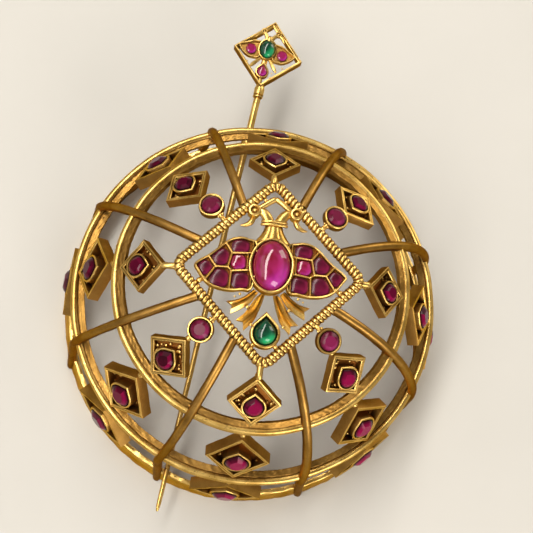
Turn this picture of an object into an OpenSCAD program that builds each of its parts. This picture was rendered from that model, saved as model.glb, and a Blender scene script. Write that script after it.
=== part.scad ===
// Bun cage: an open dome of three rings and eight ribs, set with stones,
// with a two-headed bird in a square frame on top and a loose hair stick.
// Millimetres. +Z is up, the base ring stands on z = 0, its centre is the origin.

/* [Dome] */
// radius of the outer lower edge of the base band
base_r = 37.3; // [37:0.1:37.4]
// height of the base band
base_h = 6.2; // [5:0.1:6.4]
// wall of the base band
base_wall = 1.0; // [0.8:0.1:1.2]
// radius of the polished bead on a ring
bead_r = 0.7; // [0.55:0.05:0.75]
// width of the flat strip inside a ring's bead
strip_w = 1.9; // [1.4:0.1:2.1]
// thickness of the flat strip
strip_t = 0.9; // [0.7:0.05:1.0]

/* [Ribs] */
// width of a rib
rib_w = 1.59; // [1.2:0.01:1.6]
// height of a rib
rib_h = 1.5; // [1.3:0.1:1.6]
// lean of the ribs round the dome above the middle ring, degrees
rib_lean = 6; // [5.5:0.5:6.5]

/* [Crown] */
// half side of the square frame, to the middle of its rope
frame_side = 11.45; // [11.3:0.05:11.6]
// radius of the rope's bend at the frame's corners
frame_bend = 1.7; // [1.5:0.1:2.4]
// thickness of the rope edge
rope_d = 1.9; // [1.7:0.1:2]
// outer diameter of a round collet
collet_d = 4.5; // [4.3:0.1:4.6]
// diameter of a round collet's stone
collet_stone_d = 3.3; // [3:0.1:3.4]

/* [Settings] */
// half length of an upper setting
upper_long = 4.8; // [4.6:0.1:4.9]
// half length of a middle setting
middle_long = 6.4; // [6.2:0.1:6.5]
// half length of a lower setting
lower_long = 7.2; // [7:0.1:7.3]
// depth of the walls of a lower setting
setting_deep = 2.4; // [2.2:0.1:2.6]
// wall of a setting
setting_wall = 0.7; // [0.6:0.05:0.75]

/* [Hair stick] */
// diameter of the shaft below the head
shaft_d = 1.3; // [1.1:0.1:1.4]
// diameter of the shaft near the tip
tip_d = 0.9; // [0.7:0.1:1]
// half diagonal of the square head
head_half = 7.2; // [7:0.1:7.3]
// thickness of the head
head_t = 2.4; // [2.2:0.1:2.6]

/* [Hidden] */
$fn = 48;
gap = 0.1;
bezel_wall = 0.45;
// the dome's arc: its centre in a section, and the radius of the beads on it
arc_x = 8.1;
arc_z = 13.3;
bead_arc_r = 26.75;
upper_ring_at = 47.9;
middle_ring_at = 14.1;
upper_tilt = 31;
middle_tilt = 2;
// the ribs' arc, where it starts, where it turns straight, and the foot below it:
// its slope outwards, its slope round the dome and the height of its end
rib_arc_r = 27.25;
rib_top_at = 83;
rib_end_at = 9;
rib_foot_out = 7.2;
rib_foot_round = 4;
rib_foot = 0.2;
frame_z = 40.2;
plate_z = 39.4;
plate_t = 1.0;
collet_r = 15.5;
collet_z = 40.7;
// the hand-set crown stands a little off the dome's middle
crown_at = [0.38, 0.35, 0];
bird_at = 0.6;
collet_tilt = 16.4;
stick_in = [-3.3, 36.9, 13.2];
stick_out = [-13.65, -33.1, 7.0];
stick_dir = (stick_out - stick_in) / norm(stick_out - stick_in);
head_at = -16.4;
tip_at = 78.6;

// rows of settings: radius, height, tilt, half length, half width, turn,
// shift of the stone towards the lower corner, radius of the stone, depth
ROWS = [
    [21.67, 37.08, 38.3, upper_long, upper_long * 0.975, -0.7, 0.9, 1.65, setting_deep * 0.7],
    [30.70, 26.37, 61.2, middle_long, middle_long * 0.91, -2.9, 1.2, 2.05, setting_deep * 0.9],
    [36.45, 10.0, 80.5, lower_long, lower_long * 0.95, -3.5, 0.6, 2.35, setting_deep],
];
// wing cells: across from the bird's axis, up, turn, half length, half width
CELLS = [
    [5.95, 4.45, -10, 1.25, 0.8],
    [8.65, 2.55, -35, 1.4, 1.25],
    [11.2, 0.4, -40, 1.0, 0.85],
    [5.6, 1.85, 0, 1.1, 1.0],
    [8.55, -1.25, 20, 1.4, 1.25],
    [5.2, -1.4, 0, 1.1, 1.0],
];
// right wing's outline, from its top by the neck round the tip: across, up
WING = [
    [2.8, 5.0], [4.8, 6.0], [6.2, 6.05], [8.2, 5.1], [10.4, 2.9], [13.1, 0.85],
    [12.6, -0.3], [11.5, -1.75], [9.7, -2.9], [7.8, -3.4], [5.9, -3.3], [4.2, -2.8], [2.8, -2.2],
];
// outlines of the right tail feathers with their forked ends, and their ridges
UPPER_FEATHER = [
    [2.6, -2.6], [3.5, -3.1], [4.8, -4.2], [6.1, -4.95], [7.15, -5.2], [6.2, -5.85], [6.3, -7.3],
    [4.95, -6.55], [3.7, -5.5], [2.3, -4.1], [1.8, -3.3],
];
LOWER_FEATHER = [
    [1.3, -3.3], [2.2, -4.5], [3.1, -5.8], [4.2, -7.3], [5.35, -8.3], [4.0, -8.45], [3.9, -10.0],
    [2.8, -9.0], [1.9, -7.6], [1.35, -6.4], [0.7, -4.2], [0.6, -3.4],
];
RIDGES = [
    [[2.4, -3.2], [3.3, -4.0]], [[3.3, -4.0], [4.5, -4.95]], [[4.5, -4.95], [5.7, -5.6]],
    [[1.1, -3.9], [1.85, -5.45]], [[1.85, -5.45], [2.75, -6.8]], [[2.75, -6.8], [3.65, -7.9]],
];
// right beak below the head: across from the bird's axis, up
BEAK = [
    [3.2, 10.4], [3.6, 9.3], [4.13, 8.72], [4.95, 8.15], [5.9, 8.3], [4.85, 8.9], [4.55, 9.6], [4.2, 10.5],
];
// small wing of the stick's head: along towards the tip, across
HEAD_WING = [
    [-2.2, 1.6], [-2.2, 3.3], [-1.3, 4.9], [-0.75, 6.0], [0.7, 5.0], [1.6, 3.6], [1.1, 1.6],
];

// outline of an oval, counted round against the clock
function oval(rx, ry, n) = [for (i = [0:n - 1]) [rx * cos(360 * i / n), ry * sin(360 * i / n)]];
// outline of a drop: a round of radius r with its point at -x, t away
function drop(r, t, n) = concat([[-t, 0]],
    [for (i = [0:n]) let (b = acos(r / t), a = -(180 - b) + i * (360 - 2 * b) / n)
        [r * cos(a), r * sin(a)]]);
// outline of a diagonal square with half diagonals l and w, its walls moved in by d
function kite(l, w, d) = let (s = 1 - d * sqrt(l * l + w * w) / (l * w))
    [[-l * s, 0], [0, -w * s], [l * s, 0], [0, w * s]];

// levels of a cut stone with a table, and of a domed one: share of the outline, height
function cut_levels(r) = [[0.1, -0.5 * r], [1, 0], [1, 0.1 * r], [0.58, 0.4 * r]];
function dome_levels(h) = [[0.92, -0.5], [1, -0.3], [1, 0], [0.95, 0.34 * h],
    [0.8, 0.63 * h], [0.55, 0.86 * h], [0.25, 0.98 * h]];

// a stone: its outline repeated at each level and closed with flat facets
module stone(outline, levels) {
    m = len(outline);
    q = len(levels);
    polyhedron(
        points = [for (v = levels) for (p = outline) [p[0] * v[0], p[1] * v[0], v[1]]],
        faces = concat(
            [[for (i = [0:m - 1]) i]],
            [[for (i = [m - 1:-1:0]) (q - 1) * m + i]],
            [for (j = [0:q - 2]) for (i = [0:m - 1])
                [j * m + i, (j + 1) * m + i, (j + 1) * m + (i + 1) % m, j * m + (i + 1) % m]]));
}

// sets its children on the dome with their flat face outwards
module on_dome(r, z, tilt, turn) {
    rotate([0, 0, turn]) translate([r, 0, z]) rotate([0, tilt, 0]) children();
}

// a ring's section in place, its outline grown by more
module ring_body(at, tilt, more) {
    rotate_extrude()
        translate([arc_x + bead_arc_r * cos(at), arc_z + bead_arc_r * sin(at)]) union() {
            circle(r = bead_r + more);
            rotate(180 - tilt) translate([0, -strip_t / 2 - more])
                square([strip_w + more, strip_t + 2 * more]);
            rotate(-62) translate([bead_r + 0.2, 0]) circle(r = 0.32 + more);
        }
}
module base_body(more) {
    top_r = base_r - 0.165 * base_h;
    rotate_extrude() polygon([
        [base_r - base_wall - more, -more], [base_r + more, -more],
        [top_r + more, base_h - 0.3], [top_r - 0.25 + more, base_h + more],
        [top_r - base_wall - more, base_h + more]]);
}

module base_ring() { color([0.80, 0.62, 0.30]) base_body(0); }
module middle_ring() { color([0.78, 0.60, 0.30]) ring_body(middle_ring_at, middle_tilt, 0); }
module upper_ring() { color([0.78, 0.60, 0.30]) ring_body(upper_ring_at, upper_tilt, 0); }

// a rib's section: flat inside, round outside, smaller all round by less
module rib_section(less) {
    w = rib_w - 2 * less;
    h = rib_h - 2 * less;
    translate([-h / 2, -w / 2]) square([h - w / 2, w]);
    translate([h / 2 - w / 2, 0]) circle(d = w);
}
// an arc down to below the middle ring, leaning round the dome, and a straight foot
module rib(i) {
    end_x = arc_x + rib_arc_r * cos(rib_end_at);
    fall = arc_z + rib_arc_r * sin(rib_end_at) - frame_z;
    end_y = fall * sin(rib_lean);
    end_z = frame_z + fall * cos(rib_lean);
    side = frame_side + rope_d / 2 + gap;
    color([0.82, 0.64, 0.32]) difference() {
        rotate([0, 0, 45 * i - 22.5]) union() {
            translate([0, 0, frame_z]) rotate([-rib_lean, 0, 0])
                translate([arc_x, 0, arc_z - frame_z]) rotate([90, 0, 0])
                    rotate_extrude(angle = rib_top_at - rib_end_at, start = rib_end_at)
                        translate([rib_arc_r, 0]) rib_section(0);
            rotate([0, 0, atan2(end_y, end_x)]) translate([norm([end_x, end_y]), 0, end_z])
                rotate([rib_foot_round, 0, 0]) rotate([0, 180 - rib_foot_out, 0]) translate([0, 0, -0.4])
                    linear_extrude((end_z - rib_foot) / cos(rib_foot_out) / cos(rib_foot_round) + 0.28)
                        mirror([1, 0]) rib_section(0.08);
        }
        base_body(gap);
        ring_body(middle_ring_at, middle_tilt, gap);
        ring_body(upper_ring_at, upper_tilt, gap);
        translate(crown_at) rotate([0, 0, 45]) translate([-side, -side, 30])
            cube([2 * side, 2 * side, 20]);
    }
}

// one setting: deep walls with an inner step, a back, and a bezel for the stone
module setting(row) {
    l = row[3];
    w = row[4];
    r = row[7];
    deep = row[8];
    difference() {
        union() {
            difference() {
                translate([0, 0, -deep]) linear_extrude(deep) polygon(kite(l, w, 0));
                translate([0, 0, -0.15]) linear_extrude(1) polygon(kite(l, w, setting_wall * 0.55));
                translate([0, 0, 0.45 - deep]) linear_extrude(deep) polygon(kite(l, w, setting_wall));
            }
            translate([row[6], 0, 0.2 - deep]) linear_extrude(deep - 0.05)
                polygon(drop(r + gap + bezel_wall, (r + gap + bezel_wall) * 1.3, 20));
            translate([-l - 0.2, 0, -0.95]) sphere(r = 0.6);
        }
        translate([row[6], 0, -0.45]) linear_extrude(3)
            polygon(drop(r + gap, (r + gap) * 1.25, 20));
        translate([row[6], 0, -3]) linear_extrude(5) polygon(oval(r - 0.35, r - 0.35, 20));
    }
}
module settings(row) {
    difference() {
        for (k = [0:7]) on_dome(row[0], row[1], row[2], 45 * k + row[5]) setting(row);
        base_body(gap);
        translate([0, 0, -1]) cylinder(r1 = base_r, r2 = base_r - 1.0, h = base_h + 1.1);
        ring_body(middle_ring_at, middle_tilt, gap);
        ring_body(upper_ring_at, upper_tilt, gap);
        if (row[1] > 30) for (k = [0:3]) {
            translate(crown_at) on_dome(collet_r, collet_z, collet_tilt, 90 * k + 45)
                translate([0, 0, -4]) cylinder(d = collet_d + 2 * gap, h = 6);
            rotate([0, 0, 90 * k]) translate([15, -0.65 - gap, frame_z - 0.7 - gap])
                cube([1.95 + gap, 1.3 + 2 * gap, 3]);
        }
    }
}
module upper_settings() { color([0.70, 0.52, 0.24]) settings(ROWS[0]); }
module middle_settings() { color([0.70, 0.52, 0.24]) settings(ROWS[1]); }
module lower_settings() { color([0.70, 0.52, 0.24]) settings(ROWS[2]); }
module row_stone(row, k) {
    color([0.60, 0.05, 0.25]) on_dome(row[0], row[1], row[2], 45 * k + row[5])
        translate([row[6], 0, 0]) stone(drop(row[7], row[7] * 1.25, 15), cut_levels(row[7]));
}

// a bar with round ends between two points of the bird's plane
function bar_outline(from, to, w) = let (a = atan2(to[1] - from[1], to[0] - from[0])) concat(
    [for (i = [0:6]) from + w / 2 * [cos(a + 90 + 30 * i), sin(a + 90 + 30 * i)]],
    [for (i = [0:6]) to + w / 2 * [cos(a - 90 + 30 * i), sin(a - 90 + 30 * i)]]);
module bar(from, to, w) { polygon(bar_outline(from, to, w)); }
// moves its children onto the bird, whose head points to +Y
module on_bird() { translate([bird_at, 0, plate_z]) children(); }
module cell_place(c, side) {
    translate([side * c[0], c[1]]) rotate(side * c[2]) children();
}
module wing(side) { polygon([for (p = WING) [side * p[0], p[1]]]); }
module bird_outline() {
    wing(1);
    wing(-1);
    translate([0, 1.5]) polygon(oval(4.0, 5.0, 40));
    polygon([[-3.3, 5.2], [-2.1, 7.2], [-1.8, 9.6], [1.8, 9.6], [2.1, 7.2], [3.3, 5.2]]);
    translate([-2.3, 8.4]) square([4.6, 1.0]);
    for (s = [-1, 1]) {
        bar([s * 0.95, 9.6], [s * 2.2, 11.0], 1.9);
        bar([s * 2.2, 11.2], [s * 3.3, 11.2], 1.5);
        translate([s * 3.67, 11.0]) circle(d = 2.2);
        polygon([for (p = BEAK) [s * p[0], p[1]]]);
        bar([s * 2.5, 11.8], [s * 0.22, 13.6], 0.95);
        bar([s * 1.5, 12.9], [s * 2.1, 13.75], 0.8);
        bar([s * 11.4, -1.5], [s * 12.9, -2.75], 0.9);
        polygon([for (p = UPPER_FEATHER) [s * p[0], p[1]]]);
        polygon([for (p = LOWER_FEATHER) [s * p[0], p[1]]]);
        bar([s * 1.6 - 0.2, -8.95], [s * 3.1, -8.4], 0.8);
        bar([s * 1.6 - 0.25, -12.0], [s * 2.3 - 0.25, -12.75], 0.9);
    }
    translate([-2.4, -4.2]) square([4.8, 2.4]);
    translate([-0.25, -10.3]) polygon(pear_outline(2.65));
}
// outline of the green drop stone, its point towards the bird
function pear_outline(r) = [for (p = drop(r, r * 1.45, 24)) [p[1], -p[0]]];
module crown() {
    straight = frame_side - frame_bend;
    color([0.80, 0.62, 0.30]) difference() {
        union() {
            translate(crown_at) for (k = [0:3]) {
                rotate([0, 0, 45 + 90 * k]) translate([0, 0, frame_z]) {
                    translate([frame_side, 0, 0]) rotate([90, 0, 0])
                        cylinder(d = rope_d - 0.04, h = 2 * straight + 0.2, center = true);
                    translate([straight, straight, 0]) rotate_extrude(angle = 90)
                        translate([frame_bend, 0]) circle(d = rope_d);
                }
                rotate([0, 0, 45 + 90 * k]) translate([frame_side + 0.3, 0, frame_z + 0.2])
                    rotate([0, 88, 0]) cylinder(d = 1.0, h = 2.2);
                on_dome(collet_r, collet_z, collet_tilt, 90 * k + 45) translate([0, 0, -1.05])
                    cylinder(d = collet_d, h = 1.2);
            }
            for (k = [0:3]) rotate([0, 0, 90 * k]) translate([15.2, -0.65, frame_z - 0.7])
                cube([1.75, 1.3, 1.1]);
            on_bird() {
                linear_extrude(plate_t) bird_outline();
                translate([0, 1.5, 0.3]) linear_extrude(plate_t + 0.45) polygon(oval(3.95, 4.95, 40));
                translate([-0.25, -10.3, 0.3]) linear_extrude(plate_t + 0.35) polygon(pear_outline(2.6));
                translate([-2.25, 8.45, 0.3]) linear_extrude(plate_t + 0.05) square([4.5, 0.9]);
                for (s = [-1, 1]) {
                    translate([s * 3.67, 11.0, 0.3]) cylinder(d = 2.1, h = plate_t + 0.2);
                    translate([s * 3.67, 11.0, plate_t + 0.45]) sphere(d = 0.9);
                    translate([0, 0, 0.3]) linear_extrude(plate_t - 0.05) for (c = CELLS)
                        cell_place(c, s) polygon(oval(c[3] + gap + 0.3, c[4] + gap + 0.3, 16));
                    translate([0, 0, 0.2]) linear_extrude(plate_t + 0.15)
                        bar([s * 8.3, 4.8], [s * 12.7, 0.9], 0.5);
                    for (r = RIDGES) translate([0, 0, 0.2]) linear_extrude(plate_t)
                        bar([s * r[0][0], r[0][1]], [s * r[1][0], r[1][1]], 0.5);
                    translate([s * 12.1, -2.1, plate_t - 0.1]) sphere(d = 0.95);
                }
            }
        }
        translate(crown_at) for (k = [0:3]) on_dome(collet_r, collet_z, collet_tilt, 90 * k + 45) {
            translate([0, 0, -0.35]) cylinder(d = collet_stone_d + 2 * gap, h = 2);
            translate([0, 0, -3]) cylinder(d = collet_stone_d - 0.9, h = 4);
        }
        on_bird() {
            translate([0, 1.5, 0.45]) linear_extrude(3) polygon(oval(3.3, 4.5, 40));
            translate([-0.25, -10.3, 0.45]) linear_extrude(3) polygon(pear_outline(1.98));
            for (s = [-1, 1]) for (c = CELLS) translate([0, 0, 0.45]) linear_extrude(3)
                cell_place(c, s) polygon(oval(c[3] + gap, c[4] + gap, 16));
        }
    }
}
module centre_stone() {
    color([0.60, 0.05, 0.25]) on_bird() translate([0, 1.5, plate_t + 0.1])
        stone(oval(3.2, 4.4, 32), dome_levels(2.6));
}
module pear_stone() {
    color([0.05, 0.45, 0.25]) on_bird() translate([-0.25, -10.3, plate_t + 0.05])
        stone(pear_outline(1.88), dome_levels(1.5));
}
module wing_stones(side) {
    color([0.60, 0.05, 0.25]) on_bird() for (c = CELLS)
        translate([side * c[0], c[1], plate_t]) rotate([0, 0, side * c[2]])
            stone(oval(c[3], c[4], 12), [[0.8, -0.4], [1, -0.1], [1, 0.15], [0.6, 0.5]]);
}
module collet_stone(i) {
    color([0.60, 0.05, 0.25]) translate(crown_at) on_dome(collet_r, collet_z, collet_tilt, 90 * i - 45)
        stone(oval(collet_stone_d / 2, collet_stone_d / 2, 16), cut_levels(collet_stone_d / 2));
}

// the stick lies along its own x axis, the tip at +x, the head facing up
module on_stick() {
    translate(stick_in)
        rotate([0, -asin(stick_dir[2]), atan2(stick_dir[1], stick_dir[0])]) children();
}
module stick() {
    color([0.80, 0.62, 0.30]) on_stick() difference() {
        union() {
            rotate([0, 90, 0]) rotate_extrude() polygon([[0, head_at + 6.6], [0.75, head_at + 6.6],
                [1.05, -8.8], [1.05, -7], [shaft_d / 2, -6.6], [tip_d / 2, tip_at - 3],
                [0.15, tip_at], [0, tip_at]]);
            translate([head_at, 0, 0]) {
                difference() {
                    translate([0, 0, -head_t / 2]) linear_extrude(head_t)
                        polygon(kite(head_half, head_half, 0));
                    translate([0, 0, -head_t]) linear_extrude(2 * head_t)
                        polygon(kite(head_half, head_half, 0.5));
                }
                translate([0, 0, head_t / 2 - 1]) {
                    linear_extrude(0.8) head_outline();
                    translate([-0.88, -0.38, 0.2]) linear_extrude(1.0) polygon(oval(2.35, 1.95, 28));
                    translate([4.1, -0.38, 0.2]) linear_extrude(0.9) polygon(drop(1.37, 2.1, 18));
                    for (s = [-1, 1]) {
                        translate([-0.3, s * 3.3 - 0.38, 0.2]) cylinder(r = 1.5, h = 0.8);
                        translate([-4.6, s * 1.6 - 0.3, 0.2]) cylinder(r = 0.5, h = 0.75);
                    }
                }
            }
        }
        on_head_top() {
            translate([-0.88, -0.38, 0]) linear_extrude(3) polygon(oval(2.0, 1.6, 28));
            translate([4.1, -0.38, 0]) linear_extrude(3) polygon(drop(1.05, 1.5, 18));
            for (s = [-1, 1]) translate([-0.3, s * 3.3 - 0.38, 0]) cylinder(r = 1.2, h = 3);
        }
    }
}
// the level at which the head's stones stand in it
module on_head_top() { translate([head_at, 0, head_t / 2 - 0.6]) children(); }
// the small bird of the head, its own head towards -x
module head_outline() {
    translate([-0.88, -0.38]) polygon(oval(2.4, 2.0, 28));
    for (s = [-1, 1]) translate([0, -0.38]) {
        polygon([for (p = HEAD_WING) [p[0], s * p[1]]]);
        bar([-3.2, s * 0.4], [-4.6, s * 1.6], 1.0);
        bar([-4.6, s * 1.6], [-3.6, s * 2.4], 0.5);
        bar([1.2, s * 1.0], [3.3, s * 2.6], 0.6);
        bar([-4.9, s * 1.2], [-5.9, s * 0.2], 0.6);
    }
    translate([-3.6, -1.2]) square([1.6, 1.7]);
    translate([1.0, -1.1]) square([1.6, 1.5]);
    translate([4.1, -0.38]) polygon(drop(1.42, 2.15, 18));
    translate([-6.6, -0.7]) square([1.3, 0.8]);
    translate([5.2, -0.8]) square([1.2, 0.9]);
}
module stick_oval_stone() {
    color([0.05, 0.45, 0.25]) on_stick() on_head_top() translate([-0.88, -0.38, 0.4])
        stone(oval(1.9, 1.5, 24), [[0.92, -0.3], [1, -0.1], [1, 0.2], [0.9, 0.6], [0.65, 0.95], [0.3, 1.1]]);
}
module stick_pear_stone() {
    color([0.75, 0.20, 0.40]) on_stick() on_head_top() translate([4.1, -0.38, 0.4])
        stone(drop(0.95, 1.35, 15), [[0.9, -0.3], [1, -0.1], [1, 0.15], [0.58, 0.5]]);
}
module stick_side_stone(side) {
    color([0.75, 0.20, 0.40]) on_stick() on_head_top() translate([-0.3, side * 3.3 - 0.38, 0.3])
        stone(oval(1.1, 1.1, 16), [[0.9, -0.2], [1, 0], [1, 0.15], [0.58, 0.5]]);
}

base_ring();
middle_ring();
upper_ring();
for (i = [1:8]) rib(i);
crown();
upper_settings();
middle_settings();
lower_settings();
centre_stone();
pear_stone();
wing_stones(-1);  // left_wing_stones
wing_stones(1);  // right_wing_stones
for (i = [1:4]) collet_stone(i);
for (i = [1:8]) row_stone(ROWS[0], i);
for (i = [1:8]) row_stone(ROWS[1], i);
for (i = [1:8]) row_stone(ROWS[2], i);
stick();
stick_oval_stone();
stick_pear_stone();
stick_side_stone(-1);  // stick_left_stone
stick_side_stone(1);  // stick_right_stone
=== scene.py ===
"""Looks of the bun cage and its hair stick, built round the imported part.

Lengths are in millimetres; each mesh is scaled to metres when it is made.
"""
import math
from collections import namedtuple

import bmesh
import bpy
import numpy as np
from mathutils import Matrix


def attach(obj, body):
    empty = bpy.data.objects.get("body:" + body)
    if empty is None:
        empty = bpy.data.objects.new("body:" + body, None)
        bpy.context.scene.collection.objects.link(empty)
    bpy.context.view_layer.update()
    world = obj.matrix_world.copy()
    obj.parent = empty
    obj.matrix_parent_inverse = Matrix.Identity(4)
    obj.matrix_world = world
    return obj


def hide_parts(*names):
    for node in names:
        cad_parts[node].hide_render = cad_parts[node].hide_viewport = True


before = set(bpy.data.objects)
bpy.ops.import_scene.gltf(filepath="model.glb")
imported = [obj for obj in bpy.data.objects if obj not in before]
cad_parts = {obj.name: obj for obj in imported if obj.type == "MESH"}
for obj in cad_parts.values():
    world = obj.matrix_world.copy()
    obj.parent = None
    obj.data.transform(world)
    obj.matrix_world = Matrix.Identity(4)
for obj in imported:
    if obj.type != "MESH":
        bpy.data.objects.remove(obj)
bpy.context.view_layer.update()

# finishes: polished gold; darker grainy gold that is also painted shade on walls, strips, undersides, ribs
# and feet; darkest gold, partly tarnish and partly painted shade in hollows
POLISHED = 0
SHADED_AGED = 1
RECESS = 2

SECTOR = 45

# dome: the arc of its ribs and rings, the crown and the base band
ARC_X = 8.1
ARC_Z = 13.3
BEAD_ARC_R = 26.75
RIB_ARC_R = 27.25
RIB_LEAN = 6.0
RIB_FOOT_OUT = 7.2
RIB_FOOT_ROUND = 4.0
FRAME_Z = 40.2
FRAME_SIDE = 11.45
FRAME_BEND = 1.7
ROPE_R = 0.95
CROWN_AT = np.array([0.38, 0.35, 0.0])
PLATE_Z = 39.4
BIRD_X = 0.6
BODY_AT = (0, 1.5)
PEAR_AT = (-0.25, -10.3)
COLLET_R = 15.5
COLLET_Z = 40.7
COLLET_TILT = 16.4
BASE_R = 37.3
BASE_H = 6.2
BASE_LEAN = 0.165

# rows of settings: where a box is, its half length and width, its stone's shift and radius, its depth
Row = namedtuple("Row", "radius height tilt long wide turn shift stone depth")
ROWS = {
    "upper": Row(21.67, 37.08, 38.3, 4.8, 4.68, -0.7, 0.9, 1.65, 1.68),
    "middle": Row(30.70, 26.37, 61.2, 6.4, 5.824, -2.9, 1.2, 2.05, 2.16),
    "lower": Row(36.45, 10.0, 80.5, 7.2, 6.84, -3.5, 0.6, 2.35, 2.4),
}

# stick: where its own origin is, where its line leaves the cage, places along it and its radii
STICK_IN = np.array([-3.3, 36.9, 13.2])
STICK_OUT = np.array([-13.65, -33.1, 7.0])
HEAD_AT = -16.4
HEAD_TOP = 1.2
TIP_AT = 78.6
PIN_FROM = -6.5
PIN_TO = TIP_AT - 3.2
PIN_R = 0.72
PIN_TIP_R = 0.46


def unit(vector):
    vector = np.asarray(vector, float)
    return vector / np.linalg.norm(vector, axis=-1, keepdims=True)


def ripple(points, size, seed):
    """Uneven smooth waves of about this size, within -1 to 1, the same on every run."""
    rng = np.random.default_rng(seed)
    flat = points.reshape(-1, 3)
    total = np.zeros(len(flat))
    for _ in range(7):
        direction = unit(rng.normal(size=3))
        wave = size * rng.uniform(0.7, 1.5)
        total += np.sin(flat @ direction * (2 * math.pi / wave) + rng.uniform(0, 6.3))
    return (total / 3.5).reshape(points.shape[:-1])


class Shape:
    """Faces of one piece, each with a finish, and a rim value at each point."""

    def __init__(self):
        self.points = []
        self.faces = []
        self.finishes = []
        self.rims = []
        self.count = 0

    def add(self, points, faces, finish=POLISHED, rim=0.0):
        points = np.asarray(points, float).reshape(-1, 3)
        self.points.append(points)
        self.rims.append(np.broadcast_to(np.asarray(rim, float).reshape(-1), (len(points),)))
        start = self.count
        self.faces.extend([[start + i for i in face] for face in faces])
        self.finishes.extend(np.broadcast_to(finish, (len(faces),)).tolist())
        self.count += len(points)

    def grid(self, rows, along=False, caps=False, finish=POLISHED, rim=0.0):
        """Quads over rows of points, each row closed; along joins the last row to the first."""
        rows = np.asarray(rows, float)
        n, m = rows.shape[:2]
        i = np.arange(n if along else n - 1)
        j = np.arange(m)
        ii, jj = np.meshgrid(i, j, indexing="ij")
        next_i = (ii + 1) % n
        next_j = (jj + 1) % m
        corners = [ii * m + jj, ii * m + next_j, next_i * m + next_j, next_i * m + jj]
        faces = np.stack(corners, -1).reshape(-1, 4).tolist()
        finishes = np.broadcast_to(finish, (len(i), len(j))).reshape(-1).tolist()
        if caps:
            faces.append(list(range(m)))
            faces.append([(n - 1) * m + k for k in range(m)])
            finishes += [finishes[0], finishes[-1]]
        rims = np.broadcast_to(np.asarray(rim, float), (n, m))
        self.add(rows, faces, finishes, rims)


def same(points):
    return points


def turned(points, degrees):
    """Turns points about the Z axis."""
    c = math.cos(math.radians(degrees))
    s = math.sin(math.radians(degrees))
    points = np.asarray(points, float)
    x = points[..., 0] * c - points[..., 1] * s
    y = points[..., 0] * s + points[..., 1] * c
    return np.stack([x, y, points[..., 2]], -1)


def dome_place(radius, height, tilt, turn):
    """Sets points on the dome: x runs down the dome and z points out of it."""
    c = math.cos(math.radians(tilt))
    s = math.sin(math.radians(tilt))

    def at(points):
        points = np.asarray(points, float)
        x = points[..., 0] * c + points[..., 2] * s + radius
        z = -points[..., 0] * s + points[..., 2] * c + height
        return turned(np.stack([x, points[..., 1], z], -1), turn)

    return at


def setting_place(row, k):
    return dome_place(row.radius, row.height, row.tilt, SECTOR * k + row.turn)


def collet_place(k):
    at = dome_place(COLLET_R, COLLET_Z, COLLET_TILT, 45 + 90 * k)
    return lambda points: at(points) + CROWN_AT


def bird_place(points):
    return np.asarray(points, float) + np.array([BIRD_X, 0, PLATE_Z])


STICK_X = unit(STICK_OUT - STICK_IN)
STICK_TURN = math.atan2(STICK_X[1], STICK_X[0])
STICK_Y = np.array([-math.sin(STICK_TURN), math.cos(STICK_TURN), 0.0])
STICK_Z = np.cross(STICK_X, STICK_Y)


def stick_place(points):
    """x runs towards the tip, z is up."""
    points = np.asarray(points, float)
    return STICK_IN + points[..., 0:1] * STICK_X + points[..., 1:2] * STICK_Y + points[..., 2:3] * STICK_Z


def head_place(points):
    """The middle of the stick's head, at the level of its top edge."""
    return stick_place(np.asarray(points, float) + np.array([HEAD_AT, 0, HEAD_TOP]))


# outlines in the plane, all against the clock

def oval(rx, ry, count, cx=0.0, cy=0.0):
    a = np.linspace(0, 2 * math.pi, count, endpoint=False)
    return np.stack([cx + rx * np.cos(a), cy + ry * np.sin(a)], -1)


def drop(radius, tip, count):
    """A round with a point at -x."""
    half = math.acos(radius / tip)
    a = np.linspace(half - math.pi, math.pi - half, count)
    ring = np.stack([radius * np.cos(a), radius * np.sin(a)], -1)
    return np.vstack([[[-tip, 0]], ring])


def pear(radius, count):
    """The drop with its point up, below the bird."""
    d = drop(radius, radius * 1.45, count)
    return np.stack([d[:, 1] + PEAR_AT[0], PEAR_AT[1] - d[:, 0]], -1)


def kite(long, wide):
    return np.array([[-long, 0], [0, -wide], [long, 0], [0, wide]], float)


def smooth_closed(points, count):
    """A smooth closed line through the points."""
    p = np.asarray(points, float)
    before = np.roll(p, 1, 0)
    after = np.roll(p, -1, 0)
    after2 = np.roll(p, -2, 0)
    out = []
    for t in np.linspace(0, 1, count, endpoint=False):
        out.append(0.5 * (2 * p + (after - before) * t + (2 * before - 5 * p + 4 * after - after2) * t ** 2
                          + (3 * p - before - 3 * after + after2) * t ** 3))
    return np.stack(out, 1).reshape(-1, 2)


def smooth_line(points, count):
    """A smooth open line through the points."""
    p = np.asarray(points, float)
    p = np.vstack([2 * p[0] - p[1], p, 2 * p[-1] - p[-2]])
    out = []
    for k in range(1, len(p) - 2):
        for t in np.linspace(0, 1, count, endpoint=False):
            a, b, c, d = p[k - 1:k + 3]
            out.append(0.5 * (2 * b + (c - a) * t + (2 * a - 5 * b + 4 * c - d) * t ** 2
                              + (3 * b - a - 3 * c + d) * t ** 3))
    out.append(p[-2])
    return np.array(out)


def stepped(outline, step):
    """The same outline with points no further apart than step."""
    out = []
    for a, b in zip(outline, np.roll(outline, -1, 0)):
        count = max(1, int(np.linalg.norm(b - a) / step))
        for t in np.linspace(0, 1, count, endpoint=False):
            out.append(a + (b - a) * t)
    return np.array(out)


def mitres(outline):
    """The step at each corner that moves both its edges in by 1."""
    before = unit(outline - np.roll(outline, 1, 0))
    after = unit(np.roll(outline, -1, 0) - outline)
    n1 = np.stack([-before[:, 1], before[:, 0]], -1)
    n2 = np.stack([-after[:, 1], after[:, 0]], -1)
    return (n1 + n2) / (1 + (n1 * n2).sum(-1, keepdims=True)).clip(0.35)


def inset(outline, distance):
    return outline + mitres(outline) * distance


# forms

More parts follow.
